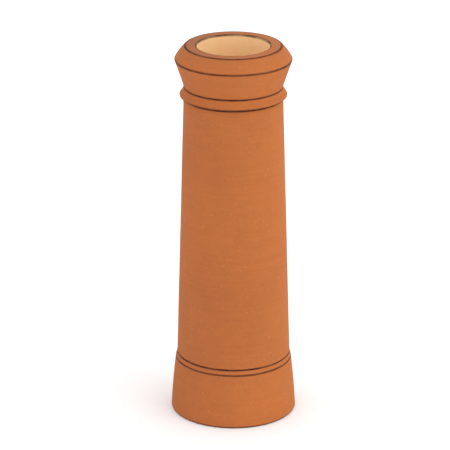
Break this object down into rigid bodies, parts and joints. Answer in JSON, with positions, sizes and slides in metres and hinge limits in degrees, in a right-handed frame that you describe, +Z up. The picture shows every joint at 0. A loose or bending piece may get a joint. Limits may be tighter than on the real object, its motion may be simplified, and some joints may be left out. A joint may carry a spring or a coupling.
{
  "type": "chimney pot",
  "caption": "Tall round terracotta chimney pot: flared foot band, tapered shaft, round-nosed bead, and a head that flares to a crest round an open mouth.",
  "frame": {"origin": "middle of the foot's underside, on the pot's axis", "axes": "+Z up along the pot's axis, from the foot to the rim; the pot is round, so X and Y may point any way"},
  "size_m": [0.2964, 0.2964, 0.9],
  "materials": {
    "terracotta": "unglazed fired clay, matt"
  },
  "bodies": {
    "root": {"chimney_pot": "terracotta"}
  },
  "joints": []
}
